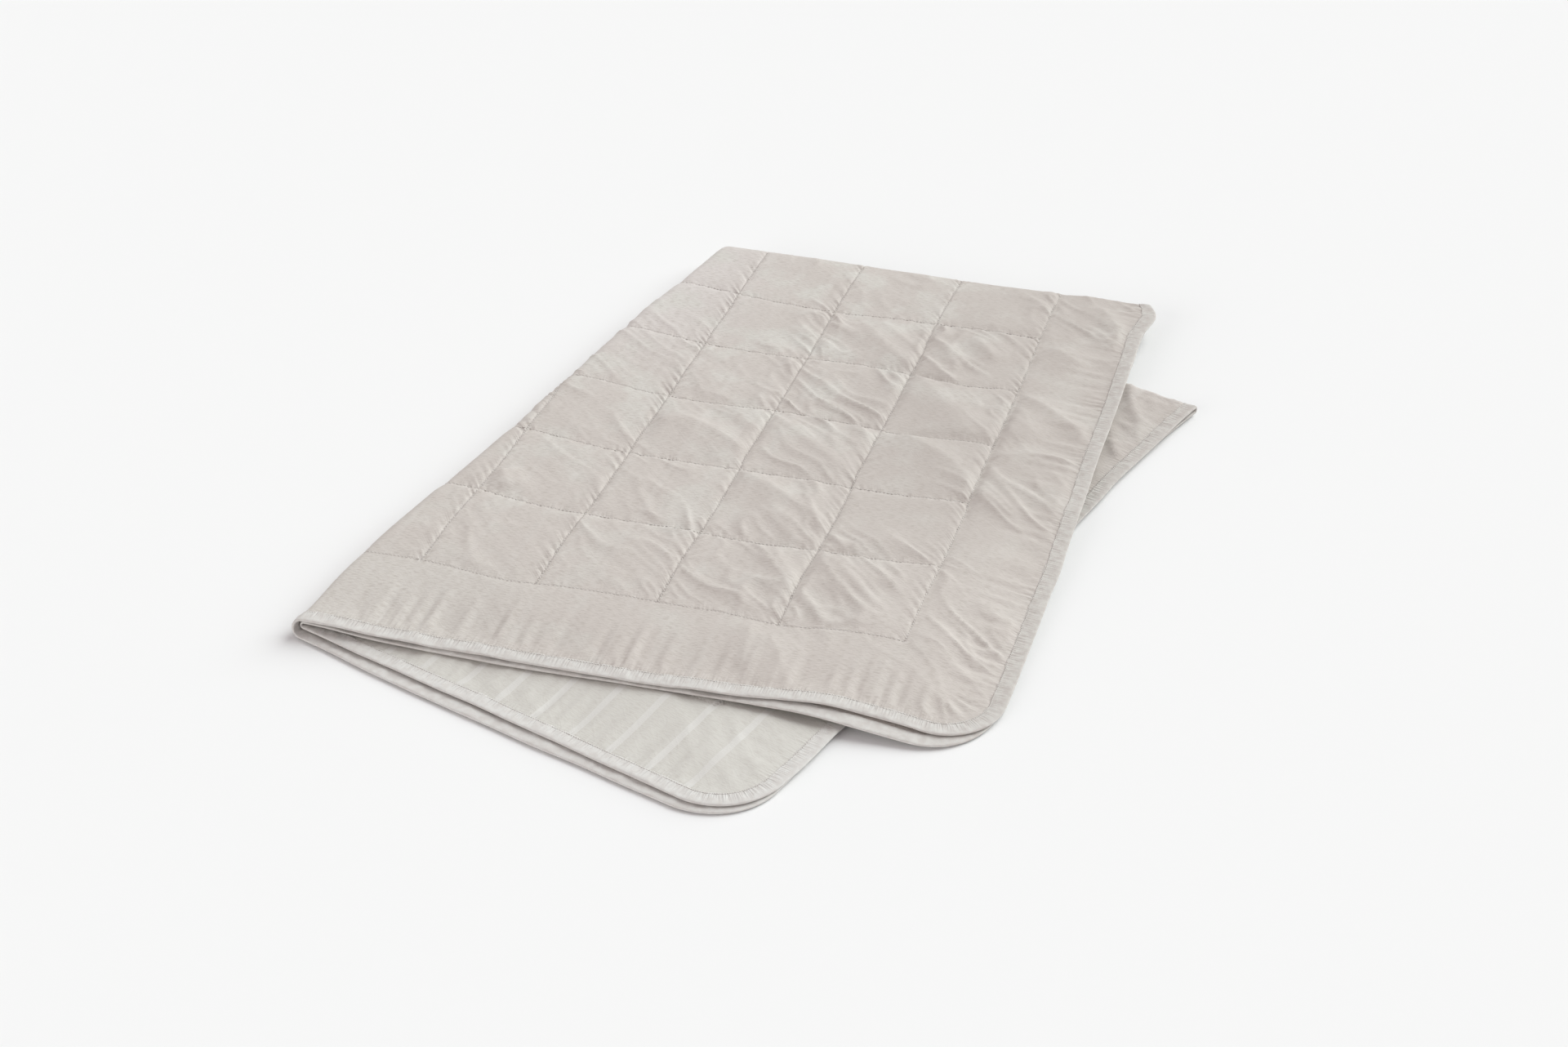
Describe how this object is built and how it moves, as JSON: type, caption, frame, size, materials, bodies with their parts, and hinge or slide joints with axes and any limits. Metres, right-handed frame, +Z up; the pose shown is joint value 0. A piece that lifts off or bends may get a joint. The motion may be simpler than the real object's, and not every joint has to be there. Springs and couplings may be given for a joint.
{
  "type": "folded quilted summer duvet",
  "caption": "Thin filled summer duvet, quilted in squares, with a taped edge, folded twice and lying flat.",
  "frame": {"origin": "middle of the folded duvet's plan, on the surface that it lies on", "axes": "+Z up from the surface; +Y from the front hem to the back fold, along the duvet's length; +X from the left fold to the right hem"},
  "size_m": [0.866, 1.165, 0.0315],
  "materials": {
    "cotton_cloth": "natural undyed cotton with a slubbed weave and faint satin stripes, matt with a soft sheen",
    "binding_tape": "off-white woven cotton tape, folded over the edge and stitched, matt"
  },
  "bodies": {
    "root": {"duvet_body": "cotton_cloth", "edge_binding": "binding_tape"}
  },
  "joints": []
}
